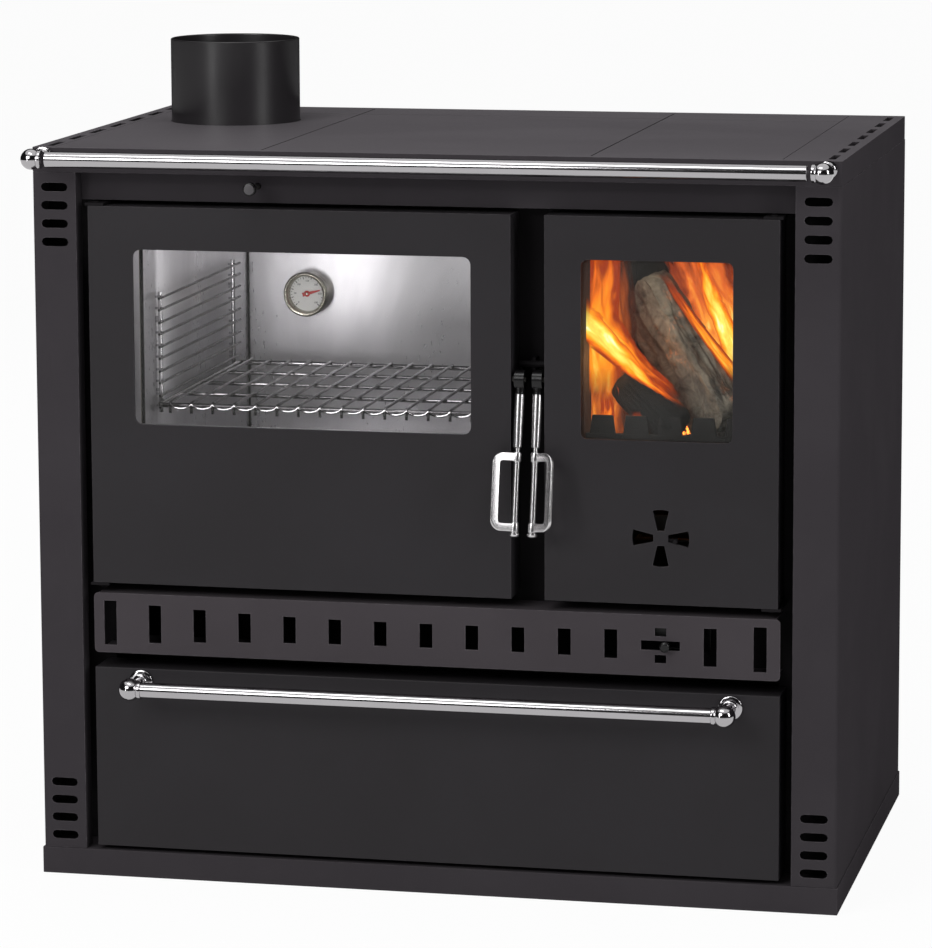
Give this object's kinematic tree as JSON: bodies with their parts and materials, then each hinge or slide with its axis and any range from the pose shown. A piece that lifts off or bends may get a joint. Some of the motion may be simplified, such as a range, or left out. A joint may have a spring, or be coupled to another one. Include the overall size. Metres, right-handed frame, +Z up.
{
  "type": "wood cookstove",
  "caption": "Wood cookstove with an oven and a firebox behind glazed doors, a slotted air band, a wood drawer, a flat steel hob with a flue spigot, and a chromed rail",
  "frame": {"origin": "on the floor, under the middle of the whole stove with its rail", "axes": "+X to the right as one faces the doors, +Y to the back, +Z up"},
  "size_m": [0.933, 0.6316, 0.95],
  "materials": {
    "casing_paint": "fine matt anthracite enamel on folded sheet steel",
    "door_paint": "satin charcoal enamel on pressed sheet steel",
    "hob_steel": "satin anthracite steel",
    "black_iron": "matt heat-proof black",
    "chrome_trim": "bright chrome plate",
    "stainless": "bare stainless sheet",
    "firebrick": "pressed refractory board",
    "door_glass": "clear heat-proof ceramic glass",
    "rope_seal": "woven glass-fibre rope",
    "black_knob": "black moulded knob",
    "pointer_red": "red paint"
  },
  "bodies": {
    "stove": {"plinth": "casing_paint", "left_side_casing": "casing_paint", "right_side_casing": "casing_paint", "back_panel": "casing_paint", "front_frame": "black_iron", "upper_fascia": "casing_paint", "vent_band": "casing_paint", "hob_frame": "hob_steel", "flue_plate": "hob_steel", "flue_collar": "black_iron", "front_rail": "chrome_trim", "rail_left_end": "chrome_trim", "rail_right_end": "chrome_trim", "oven_left_wall": "stainless", "oven_right_wall": "stainless", "oven_top": "stainless", "oven_floor": "stainless", "oven_back": "stainless", "shelf_ladder_left": "chrome_trim", "shelf_ladder_right": "chrome_trim", "thermometer_case": "chrome_trim", "firebox_shell": "black_iron", "firebrick_left": "firebrick", "firebrick_right": "firebrick", "firebrick_back": "firebrick", "fire_grate": "black_iron", "smoke_baffle": "black_iron", "oven_hinge_rod": "hob_steel", "fire_hinge_rod": "hob_steel", "drawer_runner_left": "hob_steel", "drawer_runner_right": "hob_steel"},
    "oven_door": {"oven_door_panel": "door_paint", "oven_door_glass": "door_glass", "oven_door_liner": "black_iron", "oven_door_seal": "rope_seal", "oven_latch_pin": "hob_steel"},
    "oven_handle": {"oven_latch_lever": "black_iron", "oven_handle_grip": "chrome_trim"},
    "fire_door": {"fire_door_panel": "door_paint", "fire_door_glass": "door_glass", "fire_door_liner": "black_iron", "fire_door_seal": "rope_seal", "fire_latch_pin": "hob_steel"},
    "fire_handle": {"fire_latch_lever": "black_iron", "fire_handle_grip": "chrome_trim"},
    "air_disc": {"air_rosette": "hob_steel"},
    "air_slide": {"air_slider": "black_iron"},
    "damper": {"damper_rod": "hob_steel", "damper_knob": "black_knob"},
    "drawer": {"drawer_body": "casing_paint", "drawer_front": "door_paint", "drawer_bar": "chrome_trim"},
    "rack": {"oven_rack": "chrome_trim"},
    "ash_drawer": {"ash_pan": "hob_steel"},
    "pointer": {"thermometer_pointer": "pointer_red"},
    "middle_lid": {"middle_plate": "hob_steel"},
    "fire_lid": {"fire_plate": "hob_steel"}
  },
  "joints": [
    {"name": "oven_door_hinge", "type": "hinge", "parent": "stove", "child": "oven_door", "pos_m": [-0.392, -0.24775, 0.56575], "axis": [0, 0, -1], "range_deg": [0, 110]},
    {"name": "oven_latch_pivot", "type": "hinge", "parent": "oven_door", "child": "oven_handle", "pos_m": [0.102, -0.24575, 0.597], "axis": [-1, 0, 0], "range_deg": [-5, 40]},
    {"name": "fire_door_hinge", "type": "hinge", "parent": "stove", "child": "fire_door", "pos_m": [0.389, -0.24775, 0.56575], "axis": [0, 0, 1], "range_deg": [0, 110]},
    {"name": "fire_latch_pivot", "type": "hinge", "parent": "fire_door", "child": "fire_handle", "pos_m": [0.1225, -0.24575, 0.597], "axis": [-1, 0, 0], "range_deg": [-5, 40]},
    {"name": "air_disc_turn", "type": "hinge", "parent": "fire_door", "child": "air_disc", "pos_m": [0.264, -0.25145, 0.423], "axis": [0, -1, 0], "range_deg": [0, 18]},
    {"name": "air_slide_travel", "type": "slide", "parent": "stove", "child": "air_slide", "axis": [1, 0, 0], "range_m": [-0.022, 0.012]},
    {"name": "damper_pull", "type": "slide", "parent": "stove", "child": "damper", "axis": [0, -1, 0], "range_m": [0, 0.06]},
    {"name": "drawer_travel", "type": "slide", "parent": "stove", "child": "drawer", "axis": [0, -1, 0], "range_m": [0, 0.42]},
    {"name": "rack_travel", "type": "slide", "parent": "stove", "child": "rack", "axis": [0, -1, 0], "range_m": [0, 0.024]},
    {"name": "ash_pan_travel", "type": "slide", "parent": "stove", "child": "ash_drawer", "axis": [0, -1, 0], "range_m": [0, 0.034]},
    {"name": "pointer_turn", "type": "hinge", "parent": "stove", "child": "pointer", "pos_m": [-0.272, 0.24, 0.623], "axis": [0, 1, 0], "range_deg": [-210, 60]},
    {"name": "middle_plate_lift", "type": "slide", "parent": "stove", "child": "middle_lid", "axis": [0, 0, 1], "range_m": [0, 0.15]},
    {"name": "fire_plate_lift", "type": "slide", "parent": "stove", "child": "fire_lid", "axis": [0, 0, 1], "range_m": [0, 0.15]}
  ]
}
